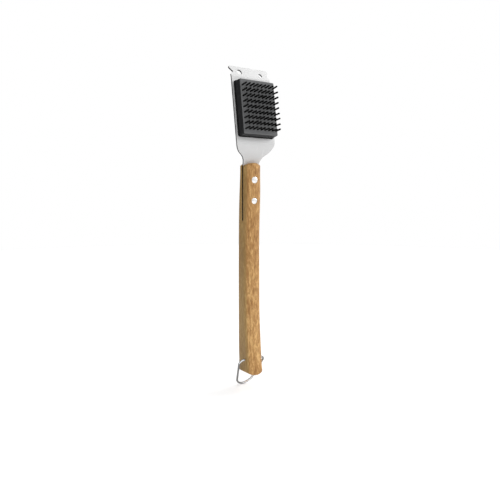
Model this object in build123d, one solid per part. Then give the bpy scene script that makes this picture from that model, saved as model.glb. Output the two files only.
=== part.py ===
from build123d import *
from math import atan, cos, radians, sin, tan
import os

# Grill cleaning brush: a one-piece steel scraper head with a riveted wooden handle.
#
# Frame, in millimetres: the origin is the middle of the handle's grip. +Z runs along the
# handle towards the head, -Y is the side that the bristles point to, and +X is to the right
# of a person who looks at the bristles.

# Scraper plate: one stamping, with head, lip, neck and tang
SHEET = 2.0             # thickness of the steel
HEAD_LEAN = 8.4         # degrees that the head leans back from the handle's line
HEAD_Y = -11.0          # front face of the head, at the middle of the bristles
HEAD_Z = 228.0          # height of the middle of the bristles
HEAD_HALF = 32.8        # half the width of the head
LIP_V = 48.0            # from the bristles' middle up to the lip's bend
LIP_ANGLE = 20.0        # degrees that the lip turns back from the head
LIP_LENGTH = 16.7
LIP_BEND = 9.0
EAR_ROUND = 3.8         # corners of the lip's outer edge
NECK_Z = 182.0          # where the neck's line leaves the head's plane
NECK_BEND = 15.0
TANG_Y = -3.6           # front face of the tang
TANG_TOP_Z = 152.7      # where the neck's line meets the tang's plane
TANG_END_Z = 73.0
TANG_HALF = 11.8        # inside the handle, so the saw cut stays open at its sides
NECK_HALF = 13.3        # where the neck enters the handle
NECK_END_Z = 150.0
SHOULDER_Z = 187.0      # where the head starts to narrow
SHOULDER_ROUND = 23.0
HOOK_W = 7.0            # height of the rod hook's throat above the lip's bend
HOOK_DEPTH = 5.2
HOOK_RISE = 6.3         # from the throat up to the hook's mouth
HOOK_FALL = 4.8         # from the throat down to the hook's mouth
HOOK_ROUND = 0.8
RELIEF_W = 6.9          # height of the shallow hollow in the other edge
RELIEF_ROUND = 5.5
RELIEF_DEPTH = 2.6
LIP_HOLES = ((-17.4, 7.3, 4.1), (18.2, 6.2, 3.0))    # across, up the lip, radius

# Bristle block and its tufts, set in a square grid
BLOCK_WIDE = 60.2
BLOCK_TALL = 79.1
BLOCK_HIGH = 14.3
BLOCK_V = 1.2           # how far the block's middle lies above the bristles' middle
BLOCK_BAND = 2.2        # straight band at the foot of the block
BLOCK_STEP = 0.5        # how far the band stands out round the block
BLOCK_DRAFT = 4.0       # degrees of draft above the band
BLOCK_CORNER = 3.0
BLOCK_EDGE = 1.0
ROWS = 9
TUFTS = 9               # in each row
PITCH_U = 6.44
PITCH_V = 7.57
TUFT_RADIUS = 0.8
TUFT_HIGH = 10.8        # above the block
TUFT_DEPTH = 9.0        # inside the block
TUFT_ROUND = 0.35
ANCHOR_WIDE = 3.0       # flat wire that pins each folded tuft down in its hole
ANCHOR_HIGH = 1.6
ANCHOR_THICK = 0.4
SCREW_RADIUS = 1.8
SCREW_LENGTH = 10.0
SCREW_HEAD_RADIUS = 3.8
SCREW_HEAD_HIGH = 2.2
SCREW_CROSS = 4.2       # length of the cross recess
SCREW_CROSS_WIDE = 0.9
SCREW_CROSS_DEEP = 1.3
SCREW_AT = (3.5 * PITCH_U, 3.5 * PITCH_V)    # midway between tufts

# Handle: one piece of wood, sawn open at the top to the shape of the tang
HANDLE_HALF = 13.5      # half the width
HANDLE_TOP = 155.5
HANDLE_END = -154.5
END_ARCH = 5.0          # how far each end rises from its sides to its middle
END_EDGE = 2.0
CORNER = 6.6            # rounding of the four long edges
FRONT_CROWN = 3.0       # how far the front face bulges
BACK_CROWN = 1.4
STATIONS = (            # height, front edge and back edge of the grip's section
    (160.0, -12.1, 7.8),
    (128.0, -10.9, 8.1),
    (90.0, -10.2, 10.3),
    (30.0, -8.7, 11.5),
    (-12.0, -9.1, 11.8),
    (-50.0, -9.4, 11.7),
    (-95.0, -11.7, 11.6),
    (-125.0, -14.1, 11.1),
    (-160.0, -20.2, 9.3),
)

# Rivets, each with a washer under its peened end
RIVET_Z = (131.0, 101.4)
RIVET_RADIUS = 2.5
RIVET_HEAD_RADIUS = 4.8
RIVET_HEAD_HIGH = 1.3
WASHER_RADIUS = 5.4
WASHER_THICK = 0.9
PEEN_RADIUS = 4.0
PEEN_HIGH = 1.3
SEAT_SINK = 0.5         # how deep a head or washer is pressed into the wood

# Hanging loop: a bail of steel wire, sprung into a hole across the handle
PIVOT_Y = -8.0
PIVOT_Z = -132.0
WIRE_RADIUS = 1.5
PIVOT_CLEARANCE = 0.07
LOOP_SWING = 30.0       # degrees that the loop is swung back from hanging straight down
LOOP_STUB = 4.0         # from the handle's middle to each end of the wire
LOOP_CORNER = 22.9      # where each leg's line meets the pivot's line
LOOP_POINT = 104.6      # where the two legs' lines meet
LOOP_BEND = 6.4
LOOP_ROUND = 14.5

REACH = 60.0            # longer than anything that is cut across


def head_point(v):
    """The Y and Z of a point v up the head's front face."""
    slope = radians(HEAD_LEAN)
    return (HEAD_Y + v * sin(slope), HEAD_Z + v * cos(slope))


def lip_point(w):
    """The Y and Z of a point w up the lip's front face from its bend."""
    slope = radians(HEAD_LEAN + LIP_ANGLE)
    y, z = head_point(LIP_V)
    return (y + w * sin(slope), z + w * cos(slope))


def on_head(u=0.0, v=0.0):
    """A place on the head's front face, with +X across, +Z up it and -Y out of it."""
    y, z = head_point(v)
    return Location((u, y, z), (-HEAD_LEAN, 0, 0))


def on_lip(u=0.0, w=0.0):
    """A place on the lip's front face, with +X across, +Z up it and -Y out of it."""
    y, z = lip_point(w)
    return Location((u, y, z), (-HEAD_LEAN - LIP_ANGLE, 0, 0))


def disc(radius, low, high):
    """A cylinder along Y, from y = low to y = high."""
    return Location((0, (low + high) / 2, 0), (90, 0, 0)) * Cylinder(radius, high - low)


def dome(radius, high, side):
    """A domed head on the XZ plane that bulges to -Y or +Y."""
    ball = (radius**2 + high**2) / (2 * high)
    low, top = sorted((0, side * high))
    return Pos(0, side * (high - ball), 0) * Sphere(ball) & disc(radius + 1, low, top)


# Scraper plate


def plate_strip():
    """The bent strip that the plate is cut from."""
    neck_y = HEAD_Y + (NECK_Z - HEAD_Z) * tan(radians(HEAD_LEAN))
    path = FilletPolyline(
        lip_point(LIP_LENGTH),
        head_point(LIP_V),
        (neck_y, NECK_Z),
        (TANG_Y, TANG_TOP_Z),
        (TANG_Y, TANG_END_Z),
        radius=[LIP_BEND, NECK_BEND, NECK_BEND],
    )
    edge = offset(path, amount=SHEET, side=Side.LEFT, closed=True)
    return extrude(Plane.YZ * make_face(edge), REACH, both=True)


def plate_side(side):
    """The plate's left or right edge, seen from the front."""
    span = HEAD_HALF - NECK_HALF
    drop = SHOULDER_Z - TANG_TOP_Z
    turn = 2 * atan(span / drop)
    meet = (
        side * (HEAD_HALF - SHOULDER_ROUND * (1 - cos(turn))),
        SHOULDER_Z - SHOULDER_ROUND * sin(turn),
    )
    waist = (side * NECK_HALF, TANG_TOP_Z)
    hip = (side * HEAD_HALF, SHOULDER_Z)
    tang = [
        (side * TANG_HALF, TANG_END_Z),
        (side * TANG_HALF, NECK_END_Z),
        (side * NECK_HALF, NECK_END_Z),
        waist,
    ]
    return [
        Polyline(*tang),
        TangentArc(waist, meet, tangent=(0, 1)),
        TangentArc(hip, meet, tangent=(0, -1)),
        Line(hip, (side * HEAD_HALF, lip_point(LIP_LENGTH)[1])),
    ]


def plate_blank():
    """The plate's outline, seen from the front, as a deep prism."""
    top = lip_point(LIP_LENGTH)[1]
    ends = [
        Line((-HEAD_HALF, top), (HEAD_HALF, top)),
        Line((-TANG_HALF, TANG_END_Z), (TANG_HALF, TANG_END_Z)),
    ]
    face = make_face(plate_side(-1) + plate_side(1) + ends)
    face = fillet(face.vertices().group_by(Axis.Y)[-1], EAR_ROUND)
    return extrude(Plane.XZ * face, REACH, both=True)


def rod_hook():
    """The pointed notch in the lip's left edge, which is drawn along a grate's rods."""
    throat = (-HEAD_HALF + HOOK_DEPTH, 0)
    outline = Polyline(
        (-HEAD_HALF, HOOK_RISE),
        throat,
        (-HEAD_HALF, -HOOK_FALL),
        (-HEAD_HALF - HOOK_DEPTH, 0),
        close=True,
    )
    face = make_face(outline)
    face = fillet(face.vertices().sort_by(Axis.X)[-1], HOOK_ROUND)
    return on_lip(0, HOOK_W) * extrude(Plane.XZ * face, 2 * SHEET, both=True)


def plate_cuts():
    """Every hole and notch that is punched in the plate."""
    relief = on_lip(HEAD_HALF + RELIEF_ROUND - RELIEF_DEPTH, RELIEF_W)
    cuts = [rod_hook(), relief * disc(RELIEF_ROUND, -SHEET, 2 * SHEET)]
    cuts += [on_lip(u, w) * disc(r, -SHEET, 2 * SHEET) for u, w, r in LIP_HOLES]
    cuts += [place * disc(SCREW_RADIUS, -SHEET, 2 * SHEET) for place in screw_places()]
    cuts += [Pos(0, TANG_Y, z) * disc(RIVET_RADIUS, -SHEET, 2 * SHEET) for z in RIVET_Z]
    return cuts


def scraper_plate():
    return plate_strip() & plate_blank() - plate_cuts()


# Bristle block, tufts and anchors


def screw_places():
    """The four screws' places on the head's front face."""
    u, v = SCREW_AT
    return [on_head(x, z) for x in (-u, u) for z in (-v, v)]


def tuft_places(row):
    """The places of one row's tufts on the head's front face, from left to right."""
    v = (row - (ROWS + 1) / 2) * PITCH_V
    return [on_head((i - (TUFTS - 1) / 2) * PITCH_U, v) for i in range(TUFTS)]


def tuft():
    """One tuft, from the bottom of its hole to its tip."""
    rod = disc(TUFT_RADIUS, -BLOCK_HIGH - TUFT_HIGH, TUFT_DEPTH - BLOCK_HIGH)
    tip = rod.edges().sort_by(Axis.Y)[0]
    return fillet(tip, TUFT_ROUND) - anchor()


def anchor():
    """The flat wire driven in over a tuft's fold."""
    bottom = TUFT_DEPTH - BLOCK_HIGH
    return Pos(0, bottom - ANCHOR_HIGH / 2, 0) * Box(ANCHOR_WIDE, ANCHOR_HIGH, ANCHOR_THICK)


def block_body():
    """The moulded block before it is drilled."""
    outline = Plane.XZ * RectangleRounded(BLOCK_WIDE, BLOCK_TALL, BLOCK_CORNER)
    band = extrude(outline, BLOCK_BAND)
    step = 2 * BLOCK_STEP
    inner = RectangleRounded(BLOCK_WIDE - step, BLOCK_TALL - step, BLOCK_CORNER - BLOCK_STEP)
    top = extrude(Plane.XZ * inner, BLOCK_HIGH, taper=BLOCK_DRAFT)
    face = top.faces().sort_by(Axis.Y)[0]
    top = fillet(face.edges(), BLOCK_EDGE)
    return band + top


def bristle_block():
    block = on_head(0, BLOCK_V) * block_body()
    hole = disc(TUFT_RADIUS, -BLOCK_HIGH - 1, TUFT_DEPTH - BLOCK_HIGH) + anchor()
    holes = [place * hole for row in range(1, ROWS + 1) for place in tuft_places(row)]
    pilot = disc(SCREW_RADIUS, -SCREW_LENGTH, 1)
    return block - holes - [place * pilot for place in screw_places()]


def block_screw(place):
    """A pan-head screw that comes through the plate from behind into the block."""
    head = dome(SCREW_HEAD_RADIUS, SCREW_HEAD_HIGH, 1)
    for wide, high in ((SCREW_CROSS, SCREW_CROSS_WIDE), (SCREW_CROSS_WIDE, SCREW_CROSS)):
        depth = SCREW_HEAD_HIGH - SCREW_CROSS_DEEP / 2
        head -= Pos(0, depth, 0) * Box(wide, SCREW_CROSS_DEEP, high)
    shank = disc(SCREW_RADIUS, -SCREW_LENGTH, SHEET)
    return place * (Pos(0, SHEET, 0) * head + shank)


# Handle


def grip_section(z, front, back):
    """One section of the grip: a rounded oblong with crowned front and back faces."""
    corners = [(x, y) for x in (-HANDLE_HALF, HANDLE_HALF) for y in (front, back)]
    left_front, left_back, right_front, right_back = corners
    face = make_face([
        Line(left_front, left_back),
        ThreePointArc(left_back, (0, back + BACK_CROWN), right_back),
        Line(right_back, right_front),
        ThreePointArc(right_front, (0, front - FRONT_CROWN), left_front),
    ])
    return Pos(0, 0, z) * fillet(face.vertices(), CORNER)


def end_shape():
    """The handle's outline from the front, as a deep prism with arched ends."""
    wide = HANDLE_HALF + 1
    top, end = HANDLE_TOP - END_ARCH, HANDLE_END + END_ARCH
    face = make_face([
        Line((-wide, end), (-wide, top)),
        ThreePointArc((-wide, top), (0, HANDLE_TOP), (wide, top)),
        Line((wide, top), (wide, end)),
        ThreePointArc((wide, end), (0, HANDLE_END), (-wide, end)),
    ])
    return extrude(Plane.XZ * face, REACH, both=True)


def grip():
    """The solid handle before it is sawn and drilled."""
    body = loft([grip_section(*station) for station in STATIONS]) & end_shape()
    ends = body.faces().sort_by(Axis.Z)
    return fillet(ends[0].edges() + ends[-1].edges(), END_EDGE)


def face_middles(z):
    """Where the middles of the crowned front and back faces lie at height z."""
    heights = [station[0] for station in STATIONS]
    above = max(i for i, high in enumerate(heights) if high >= z)
    upper, lower = STATIONS[above], STATIONS[above + 1]
    share = (z - upper[0]) / (lower[0] - upper[0])
    front, back = (upper[i] + (lower[i] - upper[i]) * share for i in (1, 2))
    return front - FRONT_CROWN, back + BACK_CROWN


def rivet_seats(z):
    """The undersides of a rivet's head and of its washer."""
    front, back = face_middles(z)
    return front + SEAT_SINK, back - SEAT_SINK


def handle():
    cuts = [plate_strip()]
    for z in RIVET_Z:
        front, back = rivet_seats(z)
        cuts.append(Pos(0, 0, z) * disc(RIVET_RADIUS, -REACH, REACH))
        cuts.append(Pos(0, 0, z) * disc(RIVET_HEAD_RADIUS, -REACH, front))
        cuts.append(Pos(0, 0, z) * disc(WASHER_RADIUS, back, REACH))
    bore = Cylinder(WIRE_RADIUS + PIVOT_CLEARANCE, 4 * HANDLE_HALF)
    cuts.append(Location((0, PIVOT_Y, PIVOT_Z), (0, 90, 0)) * bore)
    return grip() - cuts


# Rivets


def rivet(z):
    front, back = rivet_seats(z)
    outer = back + WASHER_THICK
    head = Pos(0, front, 0) * dome(RIVET_HEAD_RADIUS, RIVET_HEAD_HIGH, -1)
    peen = Pos(0, outer, 0) * dome(PEEN_RADIUS, PEEN_HIGH, 1)
    return Pos(0, 0, z) * (disc(RIVET_RADIUS, front, outer) + head + peen)


def rivet_washer(z):
    back = rivet_seats(z)[1]
    ring = disc(WASHER_RADIUS, back, back + WASHER_THICK)
    return Pos(0, 0, z) * (ring - disc(RIVET_RADIUS, back - 1, back + WASHER_THICK + 1))


# Hanging loop


def hanging_loop():
    """The bail, drawn hanging straight down and then swung back about its pivot."""
    path = FilletPolyline(
        (LOOP_STUB, 0),
        (LOOP_CORNER, 0),
        (0, -LOOP_POINT),
        (-LOOP_CORNER, 0),
        (-LOOP_STUB, 0),
        radius=[LOOP_BEND, LOOP_ROUND, LOOP_BEND],
    )
    path = Plane.XZ * path
    start = Plane(path @ 0, z_dir=path % 0)
    wire = sweep(start * Circle(WIRE_RADIUS), path=path)
    return Location((0, PIVOT_Y, PIVOT_Z), (LOOP_SWING, 0, 0)) * wire


def write(name, shape):
    shape.label = name
    export_step(shape, f"parts/{name}.step")


def main():
    os.makedirs("parts", exist_ok=True)
    write("scraper_plate", scraper_plate())
    write("bristle_block", bristle_block())
    for row in range(1, ROWS + 1):
        places = tuft_places(row)
        write(f"bristle_row_{row}", Compound([place * tuft() for place in places]))
        write(f"tuft_anchors_{row}", Compound([place * anchor() for place in places]))
    for number, place in enumerate(screw_places(), start=1):
        write(f"block_screw_{number}", block_screw(place))
    write("handle", handle())
    for name, z in zip(("upper", "lower"), RIVET_Z):
        write(f"rivet_{name}", rivet(z))
        write(f"rivet_washer_{name}", rivet_washer(z))
    write("hanging_loop", hanging_loop())


main()
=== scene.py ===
import bmesh
import bpy
from math import cos, pi, radians, sin
from mathutils import Euler, Matrix, Vector
import random


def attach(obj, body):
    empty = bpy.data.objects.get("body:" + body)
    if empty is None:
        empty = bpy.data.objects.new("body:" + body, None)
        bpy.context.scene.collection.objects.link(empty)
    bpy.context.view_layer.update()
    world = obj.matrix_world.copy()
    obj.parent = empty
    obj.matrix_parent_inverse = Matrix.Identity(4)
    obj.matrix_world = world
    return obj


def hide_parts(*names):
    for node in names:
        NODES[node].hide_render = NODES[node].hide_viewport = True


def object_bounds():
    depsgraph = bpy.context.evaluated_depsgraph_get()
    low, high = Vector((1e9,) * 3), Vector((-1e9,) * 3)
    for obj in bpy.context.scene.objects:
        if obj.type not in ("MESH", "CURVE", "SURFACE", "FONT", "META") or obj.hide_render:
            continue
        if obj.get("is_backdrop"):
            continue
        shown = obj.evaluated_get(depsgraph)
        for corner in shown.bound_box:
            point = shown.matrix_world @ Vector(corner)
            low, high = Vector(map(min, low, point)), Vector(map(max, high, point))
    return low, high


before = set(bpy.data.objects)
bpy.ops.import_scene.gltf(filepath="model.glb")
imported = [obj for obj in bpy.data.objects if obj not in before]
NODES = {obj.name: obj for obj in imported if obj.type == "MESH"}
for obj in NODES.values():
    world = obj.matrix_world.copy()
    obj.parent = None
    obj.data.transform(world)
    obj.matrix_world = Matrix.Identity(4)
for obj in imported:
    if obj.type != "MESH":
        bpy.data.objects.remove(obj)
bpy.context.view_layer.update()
MM = 0.001

# Camera, in metres and degrees
CAMERA_AT = (-0.4368, -0.6454, 0.1037)
CAMERA_AZIMUTH = 34.16        # turned to the right of +Y
CAMERA_DOWN = 5.45
CAMERA_LENS = 38.3

# Head and tufts, as in the CAD model
HEAD_LEAN = 8.4
HEAD_Y = -11.0 * MM
HEAD_Z = 228.0 * MM
BLOCK_HIGH = 14.3 * MM
ROWS = 9
TUFTS = 9
PITCH_U = 6.44 * MM
PITCH_V = 7.57 * MM
TUFT_HIGH = 10.8 * MM
TUFT_ROOT = 3.0 * MM          # how far the filaments are drawn inside their hole
SAW_CUT_Y = -2.6 * MM         # middle of the saw cut that holds the tang
SAW_CUT_END = 72.0 * MM

# Filaments of one tuft
FILAMENT_RADIUS = 0.26 * MM
FILAMENT_PITCH = 0.45 * MM
FILAMENT_SIDES = 5
FILAMENT_STEPS = 8
FIRST_SEED = 40               # of the random draws; each row has its own, counted from here
BENT_ROWS = 2                 # the lowest rows, where some tufts are bent

# Plate, in metres
EDGE_BREAK = 0.28 * MM        # how far its sharp edges are rounded
NECK_DULL = (158 * MM, 176 * MM)   # heights between which the neck goes from rough and less metallic to satin

# Studio, in metres
FLOOR_RADIUS = 2.5
FLOOR_GAP = 0.5 * MM          # below the lowest point of the tool


# ---------------------------------------------------------------- node helpers

class Paint:
    """A node material under construction."""

    def __init__(self, name):
        self.material = bpy.data.materials.new(name)
        self.material.use_nodes = True
        self.tree = self.material.node_tree
        self.shader = self.tree.nodes["Principled BSDF"]

    def node(self, kind, inputs=None, **settings):
        node = self.tree.nodes.new("ShaderNode" + kind)
        for key, value in settings.items():
            setattr(node, key, value)
        for key, value in (inputs or {}).items():
            self.put(node.inputs[key], value)
        return node

    def put(self, socket, value):
        """Links an output to a socket, or sets the socket's own value."""
        if isinstance(value, bpy.types.NodeSocket):
            self.tree.links.new(value, socket)
        else:
            socket.default_value = value

    def set(self, **values):
        """Sets the shader's sockets, by names with underscores for spaces."""
        for key, value in values.items():
            self.put(self.shader.inputs[key.replace("_", " ")], value)

    def math(self, operation, a, b=0.0, clamp=False):
        node = self.node("Math", {0: a, 1: b}, operation=operation, use_clamp=clamp)
        return node.outputs[0]

    def add(self, total, value, share):
        """The total plus that share of the value."""
        return self.math("ADD", total, self.math("MULTIPLY", value, share))

    def place(self):
        return self.node("TexCoord").outputs["Object"]

    def normal(self):
        return self.node("TexCoord").outputs["Normal"]

    def stretch(self, vector, scale, shift=(0, 0, 0), turn=(0, 0, 0)):
        settings = {"Vector": vector, "Scale": scale, "Location": shift, "Rotation": turn}
        return self.node("Mapping", settings).outputs[0]

    def noise(self, vector, scale, detail=4.0, rough=0.55, distort=0.0):
        inputs = {"Vector": vector, "Scale": scale, "Detail": detail,
                  "Roughness": rough, "Distortion": distort}
        return self.node("TexNoise", inputs).outputs[0]

    def ramp(self, value, stops):
        node = self.node("ValToRGB", {0: value})
        points = node.color_ramp.elements
        while len(points) < len(stops):
            points.new(0.5)
        for point, (at, color) in zip(points, stops):
            point.position = at
            point.color = (*color, 1) if len(color) == 3 else color
        return node.outputs[0]

    def range(self, value, low, high, to_low=0.0, to_high=1.0, smooth=False):
        inputs = {"Value": value, 1: low, 2: high, 3: to_low, 4: to_high}
        kind = "SMOOTHSTEP" if smooth else "LINEAR"
        return self.node("MapRange", inputs, interpolation_type=kind).outputs[0]

    def mix(self, share, a, b, blend="MIX"):
        node = self.node("Mix", {0: share, 6: a, 7: b}, data_type="RGBA", blend_type=blend)
        return node.outputs[2]

    def split(self, vector):
        return self.node("SeparateXYZ", {0: vector}).outputs

    def bump(self, height, strength, distance, normal=None):
        inputs = {"Height": height, "Strength": strength, "Distance": distance}
        if normal is not None:
            inputs["Normal"] = normal
        return self.node("Bump", inputs).outputs[0]


def grey(value):
    return (value, value, value)


# ---------------------------------------------------------------- materials

def wood_material():
    """Oiled hardwood: rings about a leaning heart line, flecks and pores, with painted shade on its
    sides and in and beside the saw cut.
    """
    paint = Paint("oiled_hardwood")
    place = paint.place()
    drift = paint.noise(paint.stretch(place, (9, 9, 3.2)), 1.0, 3.0, 0.5)
    sway = paint.noise(paint.stretch(place, (60, 60, 24), (4, 1, 7)), 1.0, 4.0, 0.6)
    heart = paint.stretch(place, (1, 1, 1), (-0.012, 0.052, 0), (0.075, 0.05, 0))
    x, y, z = paint.split(heart)
    square = paint.math("ADD", paint.math("MULTIPLY", x, x), paint.math("MULTIPLY", y, y))
    reach = paint.math("SQRT", square)
    reach = paint.add(paint.add(reach, drift, 0.034), sway, 0.014)
    turn = paint.math("FRACT", paint.math("MULTIPLY", reach, 270.0))
    ring = paint.ramp(turn, [(0.0, grey(0.30)), (0.5, grey(0.62)), (0.8, grey(1.0)),
                             (0.93, grey(0.42)), (1.0, grey(0.30))])
    fibre = paint.noise(paint.stretch(place, (900, 900, 40)), 1.0, 4.0, 0.6)
    fleck = paint.stretch(place, (420, 420, 115), (3, 9, 2), (0.0, 0.22, 0.0))
    fleck = paint.noise(fleck, 1.0, 5.0, 0.68, 0.6)
    mottle = paint.noise(paint.stretch(place, (150, 150, 62), (1, 5, 8)), 1.0, 5.0, 0.65, 0.8)
    cloud = paint.noise(paint.stretch(place, (38, 38, 17), (1, 5, 8)), 1.0, 3.0, 0.6)
    pores = paint.noise(paint.stretch(place, (1300, 1300, 170)), 1.0, 1.0, 0.4)
    pores = paint.range(pores, 0.60, 0.70, smooth=True)
    tone = paint.math("MULTIPLY", ring, 0.14)
    for layer, share in ((fibre, 0.32), (fleck, 0.55), (mottle, 0.38), (cloud, 0.30)):
        tone = paint.add(tone, layer, share)
    color = paint.ramp(tone, [(0.62, (0.190, 0.082, 0.018)), (0.76, (0.34, 0.165, 0.047)),
                              (0.87, (0.46, 0.245, 0.080)), (0.98, (0.66, 0.40, 0.155))])
    color = paint.mix(paint.math("MULTIPLY", pores, 0.45), color, (0.15, 0.07, 0.02, 1))
    # Painted shade: the handle's sides are painted duller and olive because of how the light falls
    # on them, not because the wood differs there.
    facing = paint.math("ABSOLUTE", paint.split(paint.normal())[0])
    painted_side_shade = paint.range(facing, 0.55, 0.93, smooth=True)
    color = paint.mix(painted_side_shade, color, (0.86, 0.97, 0.90, 1), "MULTIPLY")
    color = paint.mix(paint.math("MULTIPLY", painted_side_shade, 0.55), color, (0.305, 0.185, 0.068, 1))
    # Painted shade: the saw cut and a strip either side of it are painted near black, where the slot
    # lies in shadow.
    x, y, z = paint.split(place)
    off = paint.math("ABSOLUTE", paint.math("SUBTRACT", y, SAW_CUT_Y))
    across = paint.range(off, 1.1 * MM, 1.7 * MM, 1.0, 0.0, smooth=True)
    along = paint.range(z, SAW_CUT_END, SAW_CUT_END + 1.5 * MM, smooth=True)
    color = paint.mix(paint.math("MULTIPLY", across, along), color, (0.022, 0.015, 0.009, 1))
    paint.set(Base_Color=color, Specular_IOR_Level=0.30, Coat_Weight=0.06, Coat_Roughness=0.35)
    paint.set(Roughness=paint.range(paint.math("ADD", fibre, pores), 0.3, 1.6, 0.45, 0.70))
    fine = paint.bump(fleck, 0.25, 0.10 * MM)
    paint.set(Normal=paint.bump(paint.math("SUBTRACT", 1.0, pores), 0.30, 0.12 * MM, fine))
    return paint.material


def steel_material():
    """Satin sheet: fine lines along the tool, faint smears, a rougher neck, and painted shade on its
    edges: a dark reflection painted in.
    """
    paint = Paint("brushed_stainless")
    place = paint.place()
    lines = paint.noise(paint.stretch(place, (2600, 2600, 26)), 1.0, 3.0, 0.6)
    smear = paint.noise(paint.stretch(place, (26, 26, 15)), 1.0, 4.0, 0.6)
    marks = paint.noise(paint.stretch(place, (420, 60, 60), (0, 3, 5), (0, 0.5, 0)), 1.0, 1.0)
    marks = paint.range(marks, 0.68, 0.74, smooth=True)
    color = paint.ramp(smear, [(0.3, (0.55, 0.55, 0.55)), (0.7, (0.595, 0.595, 0.595))])
    color = paint.mix(paint.math("MULTIPLY", marks, 0.2), color, (0.8, 0.8, 0.8, 1))
    # Painted shade: faces not turned along the sheet, which are its edges and their rounding, are
    # painted near black and fully metallic. This paints in a dark reflection.
    edge_shade_noise = paint.noise(paint.stretch(place, (900, 900, 900), (1, 2, 3)), 1.0, 3.0, 0.7)
    painted_edge_shade = paint.ramp(edge_shade_noise, [(0.3, (0.012, 0.012, 0.012)), (0.7, (0.04, 0.04, 0.04))])
    x, y, z = paint.split(paint.normal())
    sheet = paint.range(paint.math("ABSOLUTE", y), 0.55, 0.86, smooth=True)
    flat = paint.range(paint.math("ABSOLUTE", x), 0.06, 0.25, 1.0, 0.0, smooth=True)
    sheet = paint.math("MULTIPLY", sheet, flat)
    neck = paint.range(paint.split(place)[2], *NECK_DULL, 1.0, 0.0, smooth=True)
    rough = paint.range(paint.math("ADD", lines, smear), 0.6, 1.4, 0.42, 0.54)
    rough = paint.add(rough, neck, 0.40)
    metal = paint.range(sheet, 0.0, 1.0, 1.0, 0.5)
    metal = paint.math("SUBTRACT", metal, paint.math("MULTIPLY", neck, 0.3))
    paint.set(Base_Color=paint.mix(sheet, painted_edge_shade, color), Metallic=metal, Roughness=rough)
    paint.set(Normal=paint.bump(lines, 0.10, 0.03 * MM))
    return paint.material


def plastic_material():
    """Moulded block: painted light, grey on its lit face and near black on its shaded walls, and
    painted shade blacker by the plate.
    """
    paint = Paint("moulded_block")
    place = paint.place()
    grain = paint.noise(place, 2600.0, 3.0, 0.6)
    flow = paint.noise(paint.stretch(place, (60, 60, 25)), 1.0, 4.0, 0.6)
    # Painted light: one plastic, given a near black tone for its shaded walls and a grey one for its
    # lit face.
    shaded_wall_tone = paint.ramp(flow, [(0.3, (0.014, 0.014, 0.015)), (0.7, (0.022, 0.022, 0.023))])
    face = paint.ramp(flow, [(0.3, (0.125, 0.127, 0.130)), (0.7, (0.160, 0.162, 0.165))])
    x, y, z = paint.split(place)
    lean = radians(HEAD_LEAN)
    front = paint.math("MULTIPLY", paint.math("SUBTRACT", HEAD_Y, y), cos(lean))
    rise = paint.math("MULTIPLY", paint.math("SUBTRACT", z, HEAD_Z), sin(lean))
    depth = paint.math("ADD", front, rise)
    uneven = paint.add(depth, grain, 0.6 * MM)
    # The lit face's tone is painted where the depth reaches the face, with an uneven edge.
    lit_face_share = paint.range(uneven, BLOCK_HIGH - 1.0 * MM, BLOCK_HIGH - 0.1 * MM, smooth=True)
    # Painted shade: the block is painted blacker within 6 mm of the plate, where it meets the plate.
    plate_side_shade = paint.range(depth, 0.6 * MM, 6.0 * MM, 0.95, 0.0, smooth=True)
    color = paint.mix(plate_side_shade, paint.mix(lit_face_share, shaded_wall_tone, face), (0.003, 0.003, 0.003, 1))
    paint.set(Base_Color=color, Specular_IOR_Level=0.13)
    paint.set(Roughness=paint.range(paint.math("ADD", grain, flow), 0.6, 1.4, 0.42, 0.60))
    paint.set(Normal=paint.bump(grain, 0.18, 0.06 * MM))
    return paint.material


def bristle_material():
    """Black filament, a little greyer in patches."""
    paint = Paint("black_filament")
    place = paint.place()
    patch = paint.noise(place, 900.0, 3.0, 0.6)
    color = paint.ramp(patch, [(0.3, (0.0015, 0.0015, 0.0015)), (0.75, (0.004, 0.004, 0.004))])
    paint.set(Base_Color=color, Specular_IOR_Level=0.08)
    paint.set(Roughness=paint.range(patch, 0.3, 0.7, 0.42, 0.6))
    paint.set(Normal=paint.bump(paint.noise(place, 4000.0, 2.0), 0.1, 0.03 * MM))
    return paint.material


def bright_material(name, color, low, high, dirt, rim=0.0):
    """Polished or plated metal: smears, fine scratches, and painted shade, darker at the rim that
    turns edge-on to the camera.
    """
    paint = Paint(name)
    place = paint.place()
    smear = paint.noise(place, 160.0, 4.0, 0.6)
    scratch = paint.noise(paint.stretch(place, (1800, 900, 240), (2, 4, 6), (0.4, 0.2, 0)), 1.0, 2.0)
    base = paint.ramp(smear, [(0.25, tuple(c * (1 - dirt) for c in color)), (0.6, color)])
    # Painted shade: the surface is painted darker and less metallic where it turns edge-on to the
    # camera, by as much as rim says.
    turned = paint.node("LayerWeight", {"Blend": 0.5}).outputs["Facing"]
    painted_rim_shade = paint.range(turned, 0.08, 0.36, 0.0, rim, smooth=True)
    base = paint.mix(painted_rim_shade, base, (0.03, 0.03, 0.03, 1))
    rough = paint.range(paint.math("ADD", smear, scratch), 0.6, 1.4, low, high)
    metal = paint.math("SUBTRACT", 1.0, painted_rim_shade)
    paint.set(Base_Color=base, Metallic=metal, Roughness=rough, Specular_IOR_Level=0.2)
    paint.set(Normal=paint.bump(scratch, 0.05, 0.02 * MM))
    return paint.material


# ---------------------------------------------------------------- pieces

def paint_node(name, material):
    """Gives a CAD node its material."""
    mesh = NODES[name].data
    mesh.materials.clear()
    mesh.materials.append(material)


def new_piece(name, mesh, material, node):
    """Adds a piece that stands for a CAD node of the brush."""
    mesh.materials.clear()
    mesh.materials.append(material)
    piece = bpy.data.objects.new(name, mesh)
    bpy.context.scene.collection.objects.link(piece)
    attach(piece, "brush")
    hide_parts(node)
    return piece


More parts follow.
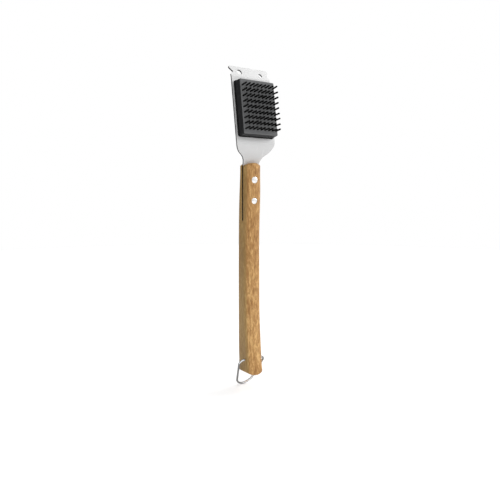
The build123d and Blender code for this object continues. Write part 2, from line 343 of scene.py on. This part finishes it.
def broken_edges(name, node, material, width, sharp=30.0):
    """A copy of a CAD node with its sharp edges rounded over."""
    mesh = NODES[node].data.copy()
    build = bmesh.new()
    build.from_mesh(mesh)
    bmesh.ops.remove_doubles(build, verts=build.verts, dist=1e-6)
    flat = radians(1.0)
    bmesh.ops.dissolve_limit(build, angle_limit=flat, verts=build.verts, edges=build.edges)
    edges = [e for e in build.edges if len(e.link_faces) == 2
             and e.calc_face_angle(0) > radians(sharp)]
    bmesh.ops.bevel(build, geom=edges, offset=width, segments=3, profile=0.6,
                    affect="EDGES", clamp_overlap=True)
    for face in build.faces:
        face.smooth = True
    build.to_mesh(mesh)
    build.free()
    mesh.set_sharp_from_angle(angle=radians(32))
    piece = new_piece(name, mesh, material, node)
    piece.modifiers.new("flat_faces_first", "WEIGHTED_NORMAL").keep_sharp = True
    return piece


def tuft_spots():
    """The filaments' places across one tuft, packed in a hexagon."""
    spots = []
    for i in range(-2, 3):
        for j in range(-2, 3):
            if abs(i + j) <= 2:
                spots.append(((i + j / 2) * FILAMENT_PITCH, j * 0.866 * FILAMENT_PITCH))
    return spots


def filament(build, root, lean, length, wave, phase):
    """One crimped filament as a closed tube, drawn on the head's face."""
    rings = []
    for step in range(FILAMENT_STEPS + 1):
        share = step / FILAMENT_STEPS
        out = -TUFT_ROOT + share * (length + TUFT_ROOT)
        free = max(0.0, out / length)
        crimp = wave * free * sin(phase + 9.0 * free)
        u = root[0] + lean[0] * free**1.6 + crimp * cos(phase)
        v = root[1] + lean[1] * free**1.6 + crimp * sin(phase)
        radius = FILAMENT_RADIUS * (0.8 if step == FILAMENT_STEPS else 1.0)
        ring = []
        for side in range(FILAMENT_SIDES):
            angle = 2 * pi * side / FILAMENT_SIDES + phase
            point = (u + radius * cos(angle), -BLOCK_HIGH - out, v + radius * sin(angle))
            ring.append(build.verts.new(point))
        rings.append(ring)
    for low, high in zip(rings, rings[1:]):
        for side in range(FILAMENT_SIDES):
            after = (side + 1) % FILAMENT_SIDES
            face = build.faces.new((low[side], low[after], high[after], high[side]))
            face.smooth = True
    build.faces.new(reversed(rings[0]))
    build.faces.new(rings[-1])


def bristle_row(row, material):
    """One row of tufts, each a bundle of filaments with its own small lean."""
    chance = random.Random(FIRST_SEED + row)
    build = bmesh.new()
    for index in range(TUFTS):
        u = (index - (TUFTS - 1) / 2) * PITCH_U
        v = (row - (ROWS + 1) / 2) * PITCH_V
        bent = row <= BENT_ROWS and chance.random() < 0.25
        reach = (0.9 if bent else 0.22) * MM
        lean = (chance.gauss(0, reach), chance.gauss(0, reach))
        for du, dv in tuft_spots():
            splay = chance.uniform(0.0, 0.2)
            own = (lean[0] + du * splay + chance.gauss(0, 0.05) * MM,
                   lean[1] + dv * splay + chance.gauss(0, 0.05) * MM)
            length = TUFT_HIGH - abs(chance.gauss(0, 0.18)) * MM
            wave = chance.uniform(0.01, 0.05) * MM
            filament(build, (u + du, v + dv), own, length, wave, chance.uniform(0, 2 * pi))
    bmesh.ops.recalc_face_normals(build, faces=build.faces)
    mesh = bpy.data.meshes.new(f"bristles_{row}")
    build.to_mesh(mesh)
    build.free()
    turn = Matrix.Rotation(radians(-HEAD_LEAN), 4, "X")
    mesh.transform(Matrix.Translation((0, HEAD_Y, HEAD_Z)) @ turn)
    return new_piece(f"bristles_{row}", mesh, material, f"bristle_row_{row}")


# ---------------------------------------------------------------- studio

def add_floor():
    """A pale disc, small enough that the dark side of the studio shows beyond it."""
    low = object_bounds()[0]
    build = bmesh.new()
    bmesh.ops.create_circle(build, cap_ends=True, segments=96, radius=FLOOR_RADIUS)
    mesh = bpy.data.meshes.new("floor")
    build.to_mesh(mesh)
    build.free()
    floor = bpy.data.objects.new("floor", mesh)
    floor.location = (0, 0, low[2] - FLOOR_GAP)
    bpy.context.scene.collection.objects.link(floor)
    paint = Paint("pale_floor")
    cloud = paint.noise(paint.place(), 3.0, 3.0)
    paint.set(Base_Color=paint.ramp(cloud, [(0.3, grey(0.88)), (0.7, grey(0.90))]))
    paint.set(Roughness=0.9, Specular_IOR_Level=0.0)
    mesh.materials.append(paint.material)
    floor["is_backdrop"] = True
    return floor


def add_sun(name, strength, spread, azimuth, elevation, only=None):
    """A soft light from that azimuth, to the right of -Y, and that elevation in degrees.

    With only, it lights that one object, and casts no shadow.
    """
    data = bpy.data.lights.new(name, "SUN")
    data.energy = strength
    data.angle = radians(spread)
    lamp = bpy.data.objects.new(name, data)
    a, e = radians(azimuth), radians(elevation)
    source = Vector((sin(a) * cos(e), -cos(a) * cos(e), sin(e)))
    lamp.rotation_euler = source.to_track_quat("Z", "Y").to_euler()
    bpy.context.scene.collection.objects.link(lamp)
    if only is not None:
        data.use_shadow = False
        lit = bpy.data.collections.new(name + "_lights")
        lit.objects.link(only)
        lamp.light_linking.receiver_collection = lit


def add_world():
    """A white studio that is darker to the left and behind, plain white to look at."""
    world = bpy.data.worlds.new("studio")
    bpy.context.scene.world = world
    world.use_nodes = True
    tree = world.node_tree
    tree.nodes.clear()

    def node(kind, **inputs):
        made = tree.nodes.new("ShaderNode" + kind)
        for key, value in inputs.items():
            socket = made.inputs[int(key[1:])]
            if isinstance(value, bpy.types.NodeSocket):
                tree.links.new(value, socket)
            else:
                socket.default_value = value
        return made

    way = node("TexCoord").outputs["Generated"]
    back_left = Vector((-0.56, 0.83, 0.0)).normalized()
    facing = node("VectorMath", _0=way, _1=back_left)
    facing.operation = "DOT_PRODUCT"
    flag = node("MapRange", _0=facing.outputs["Value"], _1=0.2, _2=0.85, _3=1.0, _4=0.10)
    flag.interpolation_type = "SMOOTHSTEP"
    x, y, z = node("SeparateXYZ", _0=way).outputs
    sky = node("MapRange", _0=z, _1=0.0, _2=0.65, _3=0.94, _4=1.15)
    side = node("MapRange", _0=x, _1=-1.0, _2=1.0, _3=0.55, _4=1.15)
    both = node("Math", _0=sky.outputs[0], _1=side.outputs[0])
    both.operation = "MULTIPLY"
    level = node("Math", _0=flag.outputs[0], _1=both.outputs[0])
    level.operation = "MULTIPLY"
    lit = node("Background", _0=(1, 1, 1, 1), _1=level.outputs[0])
    seen = node("Background", _0=(1, 1, 1, 1), _1=1.0)
    path = node("LightPath").outputs["Is Camera Ray"]
    mix = node("MixShader", _0=path, _1=lit.outputs[0], _2=seen.outputs[0])
    node("OutputWorld", _0=mix.outputs[0])


def add_camera():
    """Looks from the left of the tool's front, a little downwards."""
    data = bpy.data.cameras.new("camera")
    data.lens = CAMERA_LENS
    data.sensor_width = 36.0
    data.clip_start = 0.01
    camera = bpy.data.objects.new("camera", data)
    camera.location = CAMERA_AT
    camera.rotation_euler = Euler((radians(90 - CAMERA_DOWN), 0, radians(-CAMERA_AZIMUTH)))
    bpy.context.scene.collection.objects.link(camera)
    bpy.context.scene.camera = camera


# ---------------------------------------------------------------- assembly

steel = steel_material()
plate = broken_edges("plate_finished", "scraper_plate", steel, EDGE_BREAK)
paint_node("bristle_block", plastic_material())
filament_black = bristle_material()
for number in range(1, ROWS + 1):
    bristle_row(number, filament_black)
paint_node("handle", wood_material())
rivet_metal = bright_material("polished_rivet", (0.90, 0.90, 0.895), 0.10, 0.22, 0.06, 0.15)
zinc = bright_material("zinc_plate", (0.80, 0.81, 0.83), 0.25, 0.42, 0.2)
drawn = bright_material("drawn_wire", (0.66, 0.65, 0.62), 0.25, 0.42, 0.2)
nickel = bright_material("nickel_wire", (0.88, 0.88, 0.88), 0.14, 0.26, 0.12, 0.8)
for name in ("rivet_upper", "rivet_lower", "rivet_washer_upper", "rivet_washer_lower"):
    paint_node(name, rivet_metal)
for number in range(1, 5):
    paint_node(f"block_screw_{number}", zinc)
for number in range(1, ROWS + 1):
    paint_node(f"tuft_anchors_{number}", drawn)
paint_node("hanging_loop", nickel)

floor = add_floor()
add_world()
add_sun("key", 1.5, 40.0, 82.0, 28.0)
add_sun("plate_fill", 1.3, 50.0, -62.0, 10.0, plate)
add_sun("floor_light", 0.9, 30.0, 0.0, 90.0, floor)
add_camera()
bpy.context.scene.view_settings.view_transform = "Standard"
